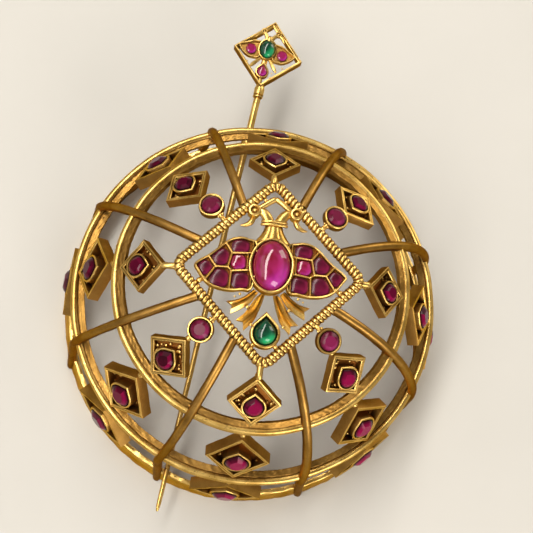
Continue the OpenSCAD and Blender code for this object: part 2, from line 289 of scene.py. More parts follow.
def band(shape, outline, profile, place, finish=POLISHED, uneven=0.0, seed=1):
    """Carries a closed profile of insets and heights round a closed outline."""
    profile = np.asarray(profile, float)
    flat = outline[:, None, :] + mitres(outline)[:, None, :] * profile[None, :, 0:1]
    heights = np.broadcast_to(profile[:, 1], flat.shape[:2])
    rows = place(np.concatenate([flat, heights[..., None]], -1))
    if uneven:
        for axis in range(3):
            rows[..., axis] += uneven * ripple(rows, 2.2, seed + axis)
    shape.grid(rows, along=True, finish=finish)


def plate(shape, outline, low, high, place, finish=POLISHED):
    rows = [np.column_stack([outline, np.full(len(outline), z)]) for z in (low, high)]
    shape.grid(place(np.array(rows)), caps=True, finish=finish)


def tube(shape, path, radii, sides=10, flat=1.0, up=(0, 0, 1), place=same):
    """A round bar along a path, closed with round ends; flat is its height over its width."""
    path = np.asarray(path, float)
    radii = np.broadcast_to(np.asarray(radii, float), (len(path),))
    along = unit(np.gradient(path, axis=0))
    side = unit(np.cross(np.broadcast_to(up, along.shape), along))
    top = np.cross(along, side)
    rows = []
    a = np.linspace(0, 2 * math.pi, sides, endpoint=False)

    def ring(k, shrink, shift):
        r = radii[k] * shrink
        centre = path[k] + along[k] * shift * radii[k]
        return centre + r * np.cos(a)[:, None] * side[k] + r * flat * np.sin(a)[:, None] * top[k]

    for angle in (80, 55, 28):
        rows.append(ring(0, math.cos(math.radians(angle)), -math.sin(math.radians(angle)) * 0.8))
    rows += [ring(k, 1.0, 0.0) for k in range(len(path))]
    for angle in (28, 55, 80):
        rows.append(ring(-1, math.cos(math.radians(angle)), math.sin(math.radians(angle)) * 0.8))
    shape.grid(place(np.array(rows)), caps=True)


def ball(shape, centre, radius, place=same, sides=10, finish=POLISHED):
    rows = []
    a = np.linspace(0, 2 * math.pi, sides, endpoint=False)
    for b in np.linspace(-80, 80, max(5, sides // 2)):
        c = math.cos(math.radians(b))
        s = math.sin(math.radians(b))
        rows.append(np.stack([centre[0] + radius * c * np.cos(a), centre[1] + radius * c * np.sin(a),
                              np.full(sides, centre[2] + radius * s)], -1))
    shape.grid(place(np.array(rows)), caps=True, finish=finish)


def lathe(shape, section, finishes, segments, uneven, size, grain, seed):
    """Turns a closed section of radii and heights about the Z axis, with waves of a size and a grain."""
    section = np.asarray(section, float)
    a = np.linspace(0, 2 * math.pi, segments, endpoint=False)
    rows = np.stack([section[None, :, 0] * np.cos(a)[:, None], section[None, :, 0] * np.sin(a)[:, None],
                     np.broadcast_to(section[:, 1], (segments, len(section)))], -1)
    out = np.stack([np.cos(a), np.sin(a), np.zeros(segments)], -1)[:, None, :]
    rows = rows + out * (uneven * ripple(rows, size, seed))[..., None]
    rows[..., 2] += uneven * 0.6 * ripple(rows, size, seed + 1)
    rough = np.asarray(finishes) == SHADED_AGED
    amount = np.where(rough, grain, grain * 0.05)[None, :]
    rows[..., 2] += amount * ripple(rows, 0.5, seed + 2)
    rows = rows + out * (amount * ripple(rows, 0.6, seed + 3))[..., None]
    shape.grid(rows, along=True, finish=np.asarray(finishes)[None, :])


# a round-topped stone: share of its outline and share of its height
CABOCHON = [(0.9, -0.45), (1.0, -0.2), (1.0, 0.0), (0.985, 0.14), (0.95, 0.29), (0.89, 0.44), (0.8, 0.6),
            (0.68, 0.75), (0.54, 0.87), (0.38, 0.95), (0.2, 0.99), (0.06, 1.0)]


def facets(radius, below):
    """Shares and heights of a cut stone: its depth below, its girdle, its crown and its table."""
    return [(0.1, -below * radius), (0.98, -0.02), (1, 0.03), (1, 0.1 * radius), (0.8, 0.27 * radius),
            (0.58, 0.39 * radius)]


def dome(low, high, below=1.0):
    """Shares and heights of a round-topped stone whose girdle is at low."""
    return [(share, low + (high * height if height > 0 else below * height)) for share, height in CABOCHON]


def stone(shape, outline, levels, place, centre=(0.0, 0.0), finish=0):
    """A stone's outline repeated at each level, closed flat; rim is 1 at its edge."""
    centre = np.asarray(centre, float)
    rows = []
    rims = []
    for share, height in levels:
        flat = centre + (outline - centre) * share
        rows.append(np.column_stack([flat, np.full(len(flat), height)]))
        rims.append(np.full(len(flat), min(1.0, abs(share))))
    shape.grid(place(np.array(rows)), caps=True, rim=np.array(rims), finish=finish)


def make(name, shape, body, finishes, nodes, sharp=38):
    """Turns a shape into an object that rides on a body and stands for CAD nodes."""
    points = np.vstack(shape.points) * 0.001
    mesh = bpy.data.meshes.new(name)
    mesh.from_pydata(points.tolist(), [], shape.faces)
    mesh.polygons.foreach_set("material_index", shape.finishes)
    rim = mesh.attributes.new("rim", "FLOAT", "POINT")
    rim.data.foreach_set("value", np.concatenate(shape.rims).astype(np.float32))
    work = bmesh.new()
    work.from_mesh(mesh)
    bmesh.ops.recalc_face_normals(work, faces=work.faces)
    work.to_mesh(mesh)
    work.free()
    mesh.polygons.foreach_set("use_smooth", [True] * len(mesh.polygons))
    mesh.set_sharp_from_angle(angle=math.radians(sharp))
    for finish in finishes:
        mesh.materials.append(finish)
    piece = bpy.data.objects.new(name, mesh)
    bpy.context.scene.collection.objects.link(piece)
    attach(piece, body)
    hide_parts(*nodes)


# materials

def blank(name):
    material = bpy.data.materials.new(name)
    material.use_nodes = True
    nodes = material.node_tree.nodes
    return material, nodes, material.node_tree.links, nodes["Principled BSDF"]


def noise(nodes, links, place, scale, detail, rough=0.55):
    node = nodes.new("ShaderNodeTexNoise")
    node.inputs["Scale"].default_value = scale
    node.inputs["Detail"].default_value = detail
    node.inputs["Roughness"].default_value = rough
    links.new(place.outputs["Object"], node.inputs["Vector"])
    return node.outputs["Fac"]


def span(nodes, links, value, low, high, to_low=0.0, to_high=1.0):
    node = nodes.new("ShaderNodeMapRange")
    node.inputs["From Min"].default_value = low
    node.inputs["From Max"].default_value = high
    node.inputs["To Min"].default_value = to_low
    node.inputs["To Max"].default_value = to_high
    links.new(value, node.inputs["Value"])
    return node.outputs["Result"]


def blend(nodes, links, amount, first, second):
    node = nodes.new("ShaderNodeMix")
    node.data_type = "RGBA"
    if isinstance(amount, float):
        node.inputs[0].default_value = amount
    else:
        links.new(amount, node.inputs[0])
    for socket, value in ((node.inputs[6], first), (node.inputs[7], second)):
        if isinstance(value, tuple):
            socket.default_value = (*value, 1)
        else:
            links.new(value, socket)
    return node.outputs[2]


def combine(nodes, links, first, second, operation="MULTIPLY"):
    node = nodes.new("ShaderNodeMath")
    node.operation = operation
    node.use_clamp = True
    for socket, value in ((node.inputs[0], first), (node.inputs[1], second)):
        if isinstance(value, float):
            socket.default_value = value
        else:
            links.new(value, socket)
    return node.outputs[0]


def gold(name, dark, light, patina_and_shade, grazing, rough, bump, reach):
    """Gold with uneven colour, cast grain, rubbed edges, and a dark colour in recesses up to reach metres,
    partly tarnish and partly painted shade.
    """
    material, nodes, links, shader = blank(name)
    place = nodes.new("ShaderNodeTexCoord")
    broad = noise(nodes, links, place, 260, 5)
    fine = noise(nodes, links, place, 2600, 4, 0.6)
    grain = noise(nodes, links, place, 7000, 3, 0.6)
    colour = blend(nodes, links, span(nodes, links, broad, 0.3, 0.7), dark, light)
    colour = blend(nodes, links, span(nodes, links, fine, 0.35, 0.8, 0.0, 0.5), colour, dark)
    # ambient occlusion darkens recesses towards the recess colour: partly tarnish, partly painted shade
    hollow = nodes.new("ShaderNodeAmbientOcclusion")
    hollow.samples = 8
    hollow.inputs["Distance"].default_value = reach
    deep = span(nodes, links, hollow.outputs["AO"], 0.25, 0.75, 1.0, 0.0)
    deep = combine(nodes, links, deep, span(nodes, links, fine, 0.2, 0.7, 1.0, 0.6))
    colour = blend(nodes, links, deep, colour, patina_and_shade)
    geometry = nodes.new("ShaderNodeNewGeometry")
    edge = span(nodes, links, geometry.outputs["Pointiness"], 0.52, 0.62, 0.0, 0.6)
    colour = blend(nodes, links, edge, colour, light)
    links.new(colour, shader.inputs["Base Color"])
    shader.inputs["Metallic"].default_value = 1.0
    shader.inputs["Specular Tint"].default_value = (*grazing, 1)
    roughness = span(nodes, links, fine, 0.3, 0.75, rough - 0.07, rough + 0.12)
    links.new(roughness, shader.inputs["Roughness"])
    height = nodes.new("ShaderNodeBump")
    height.inputs["Strength"].default_value = bump
    height.inputs["Distance"].default_value = 0.00005
    both = combine(nodes, links, fine, grain, "ADD")
    links.new(both, height.inputs["Height"])
    links.new(height.outputs["Normal"], shader.inputs["Normal"])
    return material


def gem(name, deep, body, glow, rough, shine):
    """Glass stone with painted light: a painted dark rim, painted reflections that differ from facet to
    facet, and a painted glow on the side facing the front, the right and up.
    """
    material, nodes, links, shader = blank(name)
    place = nodes.new("ShaderNodeTexCoord")
    rim = nodes.new("ShaderNodeAttribute")
    rim.attribute_name = "rim"
    # painted reflections: each facet's colour is set by the way it faces
    facet_reflection = nodes.new("ShaderNodeTexNoise")
    facet_reflection.inputs["Scale"].default_value = 2.6
    facet_reflection.inputs["Detail"].default_value = 1
    links.new(place.outputs["Normal"], facet_reflection.inputs["Vector"])
    colour = blend(nodes, links, span(nodes, links, facet_reflection.outputs["Fac"], 0.38, 0.62), deep, body)
    # painted light: the side facing the front, the right and up takes the glow colour
    lit_side = nodes.new("ShaderNodeVectorMath")
    lit_side.operation = "DOT_PRODUCT"
    lit_side.inputs[1].default_value = (0.45, -0.8, 0.4)
    links.new(place.outputs["Normal"], lit_side.inputs[0])
    light = span(nodes, links, lit_side.outputs["Value"], 0.5, 1.0)
    colour = blend(nodes, links, light, colour, glow)
    silk = noise(nodes, links, place, 900, 3)
    colour = blend(nodes, links, span(nodes, links, silk, 0.4, 0.75, 0.0, 0.35), colour, body)
    # painted shade: the stone darkens towards the deep colour at its rim
    edge = span(nodes, links, rim.outputs["Fac"], 0.8, 1.0)
    colour = blend(nodes, links, edge, colour, deep)
    links.new(colour, shader.inputs["Base Color"])
    shader.inputs["Roughness"].default_value = rough
    shader.inputs["IOR"].default_value = 1.5
    shader.inputs["Specular IOR Level"].default_value = shine
    return material


polished = gold("polished_gold", dark=(0.40, 0.23, 0.05), light=(0.80, 0.55, 0.18),
                patina_and_shade=(0.05, 0.02, 0.004), grazing=(0.75, 0.5, 0.18), rough=0.31, bump=0.2, reach=0.0006)
# darker grainy gold, darkened further as painted shade for walls, ring strips, undersides, ribs and feet
shaded_aged = gold("aged_gold", dark=(0.16, 0.08, 0.016), light=(0.42, 0.235, 0.06),
            patina_and_shade=(0.03, 0.012, 0.003), grazing=(0.42, 0.30, 0.14), rough=0.36, bump=0.5, reach=0.0016)
# darkest gold: tarnish on the setting and collet backs, painted shade in the rope's grooves, on the wing
# floors and under the stones
recess = gold("dark_recess", dark=(0.05, 0.014, 0.005), light=(0.30, 0.12, 0.025),
              patina_and_shade=(0.02, 0.004, 0.003), grazing=(0.75, 0.5, 0.18), rough=0.45, bump=0.9, reach=0.0016)
ruby = gem("ruby_glass", deep=(0.02, 0.0005, 0.004), body=(0.085, 0.001, 0.016), glow=(0.24, 0.002, 0.05),
           rough=0.08, shine=0.12)
magenta = gem("magenta_glass", deep=(0.14, 0.002, 0.012), body=(0.25, 0.010, 0.085), glow=(0.40, 0.02, 0.34),
              rough=0.06, shine=0.6)
garnet = gem("garnet_glass", deep=(0.04, 0.001, 0.008), body=(0.13, 0.006, 0.032), glow=(0.27, 0.012, 0.10),
             rough=0.2, shine=0.25)
rose = gem("rose_glass", deep=(0.06, 0.002, 0.010), body=(0.13, 0.008, 0.036), glow=(0.24, 0.02, 0.10),
           rough=0.2, shine=0.14)
green = gem("green_glass", deep=(0.001, 0.018, 0.008), body=(0.002, 0.06, 0.026), glow=(0.01, 0.42, 0.15),
            rough=0.05, shine=0.5)
GOLDS = (polished, shaded_aged, recess)


# rings: bright round edge, grainy strip inside it and a fine line under it
EDGE_R = 0.7
LINE_R = 0.31
LINE_AWAY = 0.88
STRIP_IN = 1.9
STRIP_TOP = 0.43


def round_points(centre, radius, first, last, count):
    """Points on a circle from one angle to another."""
    return [centre + radius * np.array([math.cos(math.radians(a)), math.sin(math.radians(a))])
            for a in np.linspace(first, last, count)]


def ring_section(at, tilt):
    """The section at an angle of the dome's arc, and the finish of each point."""
    x0 = ARC_X + BEAD_ARC_R * math.cos(math.radians(at))
    z0 = ARC_Z + BEAD_ARC_R * math.sin(math.radians(at))
    t = math.radians(tilt)
    inward = np.array([-math.cos(t), math.sin(t)])
    over = np.array([math.sin(t), math.cos(t)])
    strip = [inward * d + over * STRIP_TOP for d in np.linspace(STRIP_IN - 0.04, EDGE_R + 0.08, 9)]
    strip.append(inward * 0.66 + over * 0.33)
    top = math.degrees(math.atan2(over[1], over[0])) + 46
    edge = round_points(np.zeros(2), EDGE_R, top, -44, 13)
    line_at = round_points(np.zeros(2), LINE_AWAY, -62, -62, 1)[0]
    line = round_points(line_at, LINE_R, 20, -150, 6)
    under = [inward * d + over * h for d, h in ((0.62, -0.40), (1.3, -0.44), (STRIP_IN - 0.06, -STRIP_TOP),
                                                (STRIP_IN, -0.30), (STRIP_IN, 0.34))]
    # the strip and the underside take the darker grainy gold, partly painted shade
    finishes = [SHADED_AGED] * len(strip) + [POLISHED] * len(edge + line) + [SHADED_AGED] * len(under)
    return np.array(strip + edge + line + under) + np.array([x0, z0]), finishes


for name, at, tilt, segments in (("middle_ring", 14.1, 2, 1000), ("upper_ring", 47.9, 31, 760)):
    shape = Shape()
    section, finishes = ring_section(at, tilt)
    lathe(shape, section, finishes, segments, uneven=0.05, size=9.0, grain=0.035, seed=11)
    make(name + "_gold", shape, "cage", GOLDS, [name])

shape = Shape()
top_r = BASE_R - BASE_LEAN * BASE_H
section = [(BASE_R - 0.98, 0.02), (BASE_R - 0.12, 0.02), (BASE_R, 0.14)]
for h in np.linspace(0.5, BASE_H - 0.75, 8):
    section.append((BASE_R + (top_r - BASE_R) * h / BASE_H, h))
section += [(top_r - 0.02, BASE_H - 0.5), (top_r - 0.10, BASE_H - 0.42), (top_r - 0.01, BASE_H - 0.32),
            (top_r - 0.05, BASE_H - 0.12), (top_r - 0.2, BASE_H - 0.02), (top_r - 0.8, BASE_H - 0.02),
            (top_r - 0.97, BASE_H - 0.15), (BASE_R - 1.35, BASE_H * 0.5)]
finishes = [SHADED_AGED] + [POLISHED] * (len(section) - 3) + [SHADED_AGED, SHADED_AGED]
lathe(shape, section, finishes, 1000, uneven=0.09, size=2.2, grain=0.03, seed=21)
make("base_band_gold", shape, "cage", GOLDS, ["base_ring"])


# ribs: flat inside, round outside, over the rings and down past the base band

def rib_path():
    """Points from the crown to the foot, and the outward direction at each."""
    lean = math.radians(-RIB_LEAN)
    points = []
    outs = []
    for a in np.linspace(83, 9, 90):
        c = math.cos(math.radians(a))
        s = math.sin(math.radians(a))
        z = ARC_Z + RIB_ARC_R * s - FRAME_Z
        points.append((ARC_X + RIB_ARC_R * c, -z * math.sin(lean), FRAME_Z + z * math.cos(lean)))
        outs.append((c, -s * math.sin(lean), s * math.cos(lean)))
    end = np.array(points[-1])
    flat = unit(end[:2])
    for h in np.linspace(end[2] - 0.8, 0.3, 16):
        out = (end[2] - h) * math.tan(math.radians(RIB_FOOT_OUT))
        aside = (end[2] - h) * math.tan(math.radians(RIB_FOOT_ROUND))
        x, y = end[:2] + flat * out + np.array([-flat[1], flat[0]]) * aside
        points.append((x, y, h))
        outs.append((flat[0] * 0.992, flat[1] * 0.992, 0.125))
    return np.array(points), np.array(outs)


RIB_SECTION = np.array([(-0.73, 0.68), (-0.62, 0.78), (0.0, 0.78), (0.4, 0.66), (0.66, 0.37), (0.74, 0.0),
                        (0.66, -0.37), (0.4, -0.66), (0.0, -0.78), (-0.62, -0.78), (-0.73, -0.68)])
rib_points, rib_outs = rib_path()
rib_along = unit(np.gradient(rib_points, axis=0))
rib_side = unit(np.cross(rib_along, rib_outs))
rib_out = np.cross(rib_side, rib_along)
for k in range(1, 9):
    turn = SECTOR * (k - 0.5)
    square = np.abs(turned(turned(rib_points, turn) - CROWN_AT, -45)[:, :2]).max(-1)
    keep = square > FRAME_SIDE + 0.5
    middle = rib_points[keep][:, None, :]
    rows = (middle + RIB_SECTION[None, :, 0:1] * rib_out[keep][:, None, :]
            + RIB_SECTION[None, :, 1:2] * rib_side[keep][:, None, :])
    rows = turned(rows, turn)
    shift = 0.05 * ripple(rows, 5.0, 30 + k)
    rows = rows + shift[..., None] * turned(rib_out[keep], turn)[:, None, :]
    shape = Shape()
    # the ribs take the darker grainy gold, partly painted shade
    shape.grid(rows, caps=True, finish=SHADED_AGED)
    make("rib_%d_gold" % k, shape, "cage", GOLDS, ["rib_%d" % k])


# settings: deep walls, inner step, dark back, drop bezel and granules

WALL = [(0.0, -0.12), (0.05, -0.02), (0.13, 0.0), (0.32, -0.01), (0.37, -0.12), (0.42, -0.12), (0.46, -0.05),
        (0.62, -0.06), (0.7, -0.16)]
# the outer and inner walls and the groove take the darker grainy gold, partly painted shade; the bottom takes
# the darkest
WALL_FINISH = [SHADED_AGED, POLISHED, POLISHED, POLISHED, SHADED_AGED, POLISHED, POLISHED, POLISHED, SHADED_AGED, RECESS, SHADED_AGED]
BEZEL = [(0.0, -0.03), (0.06, 0.11), (0.16, 0.17), (0.32, 0.15), (0.43, 0.0), (0.46, -0.42)]
BEZEL_OUT = 0.55
BACK = 0.4
GRANULES = 30
GRANULE_R = 0.3


def deep_profile(profile, low):
    """The profile carried straight down to low at both its ends."""
    return profile + [(profile[-1][0], low), (profile[0][0], low)]


def granules(shape, outline, middle, clear, level, place, seed):
    """Solder beads of uneven size strewn inside an outline and clear of its middle."""
    rng = np.random.default_rng(seed)
    inner_steps = mitres(outline)
    for _ in range(GRANULES):
        i = rng.integers(len(outline))
        inward = rng.uniform(0.5, 1.9)
        spot = outline[i] + inner_steps[i] * inward
        if np.linalg.norm(spot - middle) < clear:
            spot = middle + unit(spot - middle) * clear
        r = GRANULE_R * rng.uniform(0.6, 1.25)
        ball(shape, (spot[0], spot[1], level + r * rng.uniform(0.2, 0.9)), r, place, 7,
             finish=int(rng.choice([POLISHED, SHADED_AGED])))


def setting(shape, row, k, seed):
    place = setting_place(row, k)
    box = kite(row.long, row.wide)
    edge = stepped(box, 0.8)
    back = 0.03 - row.depth
    band(shape, edge, deep_profile(WALL, 0.02 - row.depth), place, WALL_FINISH, 0.035, seed)
    plate(shape, inset(box, BACK), back, back + BACK, place, RECESS)
    outer = row.stone + BEZEL_OUT
    ring = drop(outer, outer * 1.3, 44)
    ring[:, 0] += row.shift
    bezel = deep_profile(BEZEL, 0.2 - row.depth)
    band(shape, ring, bezel, place, [POLISHED] * 5 + [SHADED_AGED] * 3, 0.02, seed + 5)
    middle = np.array([row.shift, 0.0])
    granules(shape, edge, middle, outer + 0.15, 0.5 - row.depth, place, seed)
    ball(shape, (-row.long - 0.1, 0, -0.95), 0.55, place)
    for x, y in round_points(middle, outer + 0.03, -75, 75, 7):
        ball(shape, (x, y, -0.2), 0.13, place, 7)


for name, row in ROWS.items():
    shape = Shape()
    for k in range(8):
        setting(shape, row, k, 50 + 7 * k)
    make(name + "_settings_gold", shape, "cage", GOLDS, [name + "_settings"])
    for k in range(1, 9):
        shape = Shape()
        outline = drop(row.stone, row.stone * 1.25, 17)
        outline[:, 0] += row.shift
        stone(shape, outline, facets(row.stone, 0.5), setting_place(row, k), (row.shift, 0))
        make("%s_ruby_%d" % (name, k), shape, "cage", (ruby,), ["%s_stone_%d" % (name, k)], 15)


# crown: rope, collets, corner pins and the bird

def frame_line(count):
    """Points along the middle of the rope, and the outward direction at each."""
    straight = FRAME_SIDE - FRAME_BEND
    bend = FRAME_BEND * math.pi / 2
    leg = 2 * straight + bend
    points = []
    outs = []
    for s in np.linspace(0, 4 * leg, count, endpoint=False):
        k, rest = divmod(s, leg)
        if rest < 2 * straight:
            point = (FRAME_SIDE, rest - straight, 0)
            out = (1, 0, 0)
        else:
            a = (rest - 2 * straight) / FRAME_BEND
            out = (math.cos(a), math.sin(a), 0)
            point = (straight + FRAME_BEND * out[0], straight + FRAME_BEND * out[1], 0)
        points.append(turned(np.array(point), 45 + 90 * k))
        outs.append(turned(np.array(out, float), 45 + 90 * k))
    return np.array(points), np.array(outs)


def rope(shape):
    """One strand wound close along the frame, with deep grooves between its turns."""
    turns = 109
    steps = 12
    groove = 0.3
    middle, outs = frame_line(turns * steps)
    a = np.linspace(0, 2 * math.pi, 18, endpoint=False)
    wind = np.arange(turns * steps)[:, None] / steps + a[None, :] / (2 * math.pi)
    across = 2 * (wind % 1) - 1
    radius = ROPE_R - groove * (1 - np.sqrt(1 - (0.96 * across) ** 2))
    radius *= 1 + 0.03 * np.sin(np.floor(wind) * 2.4)
    rows = (middle + CROWN_AT + np.array([0, 0, FRAME_Z]))[:, None, :]
    rows = rows + (radius * np.cos(a))[..., None] * outs[:, None, :]
    rows[..., 2] += radius.clip(None, ROPE_R) * np.sin(a)
    # painted shade: the grooves between the turns take the darkest gold
    shape.grid(rows, along=True, finish=np.where(np.abs(across) < 0.75, POLISHED, RECESS))


COLLET = [(0.0, -0.2), (0.03, 0.02), (0.13, 0.13), (0.3, 0.14), (0.44, 0.04), (0.5, -0.12), (0.53, -0.4)]
COLLET_OUT = 2.25
COLLET_STONE = 1.68
COLLET_LOW = -1.03
crown = Shape()
rope(crown)
for k in range(4):
    pin = [(15.9, 0, 40.05), (16.6, 0, 40.0), (17.2, 0, 39.9), (17.7, 0, 39.6)]
    tube(crown, turned(np.array(pin), 90 * k), (0.62, 0.56, 0.54, 0.58), 12)
    stem = [(FRAME_SIDE + 0.6, 0, 40.55), (FRAME_SIDE + 2.0, 0, 40.6)]
    tube(crown, turned(np.array(stem), 45 + 90 * k) + CROWN_AT, 0.45, 10)
    place = collet_place(k)
    band(crown, oval(COLLET_OUT, COLLET_OUT, 44), deep_profile(COLLET, COLLET_LOW), place,
         [SHADED_AGED] + [POLISHED] * 5 + [SHADED_AGED] * 3, 0.015, 5)
    plate(crown, oval(1.9, 1.9, 30), COLLET_LOW, -0.7, place, RECESS)
    for x, y in ((-2.45, 0.42), (-2.5, -0.4), (-2.95, 0.05)):
        ball(crown, (x, y, -0.42), 0.27, place, 8)
    shape = Shape()
    stone(shape, oval(COLLET_STONE, COLLET_STONE, 14), facets(COLLET_STONE, 0.2), place)
    make("collet_rose_%d" % (k + 1), shape, "cage", (rose,), ["collet_stone_%d" % (k + 1)], 15)

# right wing: its outline, the middle of each cell with the cell's weight, and the oval kept clear
WING = [(2.6, 4.9), (4.3, 6.0), (5.6, 6.2), (6.9, 5.9), (8.1, 5.15), (10.5, 2.9), (13.1, 0.85), (12.6, -0.4),
        (11.3, -2.1), (9.7, -3.05), (7.3, -3.45), (4.9, -3.2), (2.9, -2.4)]
CELLS = [(5.95, 4.55, 0.0), (8.75, 2.55, 1.0), (11.4, 0.4, 0.0), (5.75, 1.9, 0.2), (8.7, -1.35, 1.0),
         (5.3, -1.5, 0.3)]
BRIGHT_CELL = 3
BODY_CLEAR = (4.15, 5.2)
WING_RIM = [(0.0, 0.0), (0.0, 1.2), (0.06, 1.36), (0.16, 1.42), (0.26, 1.4), (0.33, 1.26), (0.35, 0.5)]
CELL_WALL = [(-0.03, 0.5), (-0.03, 1.36), (0.05, 1.42), (0.12, 1.38), (0.17, 1.26), (0.19, 0.5)]
FLAT_STONE = [(0.8, 0.56), (1, 0.7), (1, 0.82), (0.78, 0.96), (0.5, 1.04)]
ROUND_STONE = [(0.8, 0.56), (1, 0.7), (1, 0.85), (0.94, 1.0), (0.8, 1.16), (0.55, 1.28), (0.25, 1.34)]


def clipped(outline, normal, limit):
    """The part of an outline where its points times normal stay under limit."""
    out = []
    for a, b in zip(outline, np.roll(outline, -1, 0)):
        da = a @ normal - limit
        db = b @ normal - limit
        if da <= 0:
            out.append(a)
        if da * db < 0:
            out.append(a + (b - a) * da / (da - db))
    return np.array(out)


def wing_cells(outline):
    """One outline a cell: nearer to its own middle than to any other, within the wing."""
    inner = inset(outline, 0.2)
    cells = []
    for i, (x, y, weight) in enumerate(CELLS):
        beside_stone = BODY_CLEAR[0] * math.sqrt(1 - ((y - BODY_AT[1]) / BODY_CLEAR[1]) ** 2)
        cell = clipped(inner, np.array([-1.0, 0.0]), -beside_stone)
        for j, (x2, y2, weight2) in enumerate(CELLS):
            if i != j:
                normal = np.array([x2 - x, y2 - y]) * 2
                limit = x2 ** 2 + y2 ** 2 - weight2 - (x ** 2 + y ** 2 - weight)
                cell = clipped(cell, normal, limit)
        cells.append(cell)
    return cells


def spread(outline, count):
    """Points evenly spaced round an outline."""
    closed = np.vstack([outline, outline[:1]])
    lengths = np.concatenate([[0], np.cumsum(np.linalg.norm(np.diff(closed, axis=0), axis=1))])
    at = np.linspace(0, lengths[-1], count, endpoint=False)
    return np.stack([np.interp(at, lengths, closed[:, 0]), np.interp(at, lengths, closed[:, 1])], -1)


wing_line = spread(smooth_closed(WING, 8), 90)[::-1]
wing_cell_lines = wing_cells(wing_line)


def flipped(points, side):
    """The same outline for the right wing, mirrored for the left."""
    points = np.asarray(points, float)
    if side > 0:
        return points
    return (points * np.array([-1, 1]))[::-1]


def wing(shape, side):
    line = flipped(wing_line, side)
    # the wing's floor takes the darkest gold, painted shade between the cells
    plate(shape, inset(line, 0.06), 0.0, 0.55, bird_place, RECESS)
    band(shape, line, WING_RIM, bird_place, POLISHED, 0.015, 8)
    gems = Shape()
    for i, cell in enumerate(wing_cell_lines):
        line = flipped(spread(cell, 60), side)
        band(shape, line, CELL_WALL, bird_place, [POLISHED] * 5 + [SHADED_AGED])
        middle = line.mean(0)
        spokes = spread(inset(line, 0.22), 60) - middle
        reach = np.linalg.norm(spokes, axis=1)
        round_line = middle + spokes * (np.minimum(reach, 0.97 * reach.mean()) / reach)[:, None]
        if i == BRIGHT_CELL:
            stone(gems, spread(round_line, 30), ROUND_STONE, bird_place, middle, 1)
        else:
            stone(gems, spread(round_line, 15), FLAT_STONE, bird_place, middle)
    name = "right" if side > 0 else "left"
    make(name + "_wing_rubies", gems, "cage", (garnet, magenta), [name + "_wing_stones"], 15)


BODY_BEZEL = [(0.0, 0.0), (0.0, 1.35), (0.05, 1.58), (0.16, 1.72), (0.34, 1.76), (0.5, 1.7), (0.6, 1.52),
              (0.64, 0.9)]
PEAR_BEZEL = [(0.0, 0.0), (0.0, 1.3), (0.08, 1.5), (0.24, 1.6), (0.44, 1.58), (0.58, 1.4), (0.62, 0.9)]
EYE_RING = [(0.0, 0.0), (0.0, 1.9), (0.05, 2.02), (0.14, 2.08), (0.38, 2.08), (0.46, 1.98), (0.5, 0.7)]
EYE_AT = (3.67, 11.0)
EYE_R = 1.12


def bird(shape):
    for s in (-1, 1):
        wing(shape, s)
    body = oval(4.0, 5.0, 72, *BODY_AT)
    band(shape, body, BODY_BEZEL, bird_place, POLISHED, 0.02, 9)
    plate(shape, inset(body, 0.4), 0.02, 0.9, bird_place, RECESS)
    skirt(shape)
    for s in (-1, 1):
        neck_and_head(shape, s)
        tail(shape, s)
    pear_line = pear(2.6, 44)
    band(shape, pear_line, PEAR_BEZEL, bird_place, POLISHED, 0.015, 10)
    plate(shape, inset(pear_line, 0.4), 0.02, 0.9, bird_place, RECESS)
    for s in (-1, 1):
        link = [(s * 1.5 + PEAR_AT[0], -11.9, 0.6), (s * 2.3 + PEAR_AT[0], -12.75, 0.7)]
        tube(shape, link, 0.42, 10, place=bird_place)
        ball(shape, (s * 12.1, -2.1, 1.0), 0.5, bird_place, 12)
        tube(shape, [(s * 11.4, -1.5, 0.6), (s * 12.9, -2.75, 0.7)], 0.4, 10, place=bird_place)


def skirt(shape):
    """The breast between the collar and the big stone, with three broad flutes."""
    rows = []
    for t in np.linspace(0, 1, 9):
        v = 9.0 - 3.3 * t
        half = 1.5 + 0.25 * t + 1.55 * t ** 2.0
        x = np.linspace(-1, 1, 49)
        flute = 0.16 * np.abs(np.cos(x * math.pi * 1.5)) ** 0.6 * (0.5 + 0.5 * t)
        z = (1.12 + 0.1 * t) * np.sqrt(np.clip(1 - (x * 0.97) ** 2, 0, 1)) ** 0.8 + flute * (1 - x ** 6)
        rows.append(np.stack([x * half, np.full(49, v), z.clip(0.05)], -1))
    top = np.array(rows)
    under = top.copy()
    under[..., 2] = 0.0
    shape.grid(bird_place(np.concatenate([top, under[:, ::-1]], 1)), caps=True)
    for v, half in ((9.4, 2.1), (8.85, 2.2)):
        x = np.linspace(-half, half, 17)
        height = 0.55 + 0.8 * np.sqrt(np.clip(1 - (x / (half * 1.06)) ** 2, 0, 1))
        tube(shape, np.stack([x, np.full(17, v), height], -1), 0.26, 10, up=(0, 1, 0), place=bird_place)


def taper(path, places, values):
    """A value at each point of a path, from values at places that run from 0 to 1."""
    return np.interp(np.linspace(0, 1, len(path)), places, values)


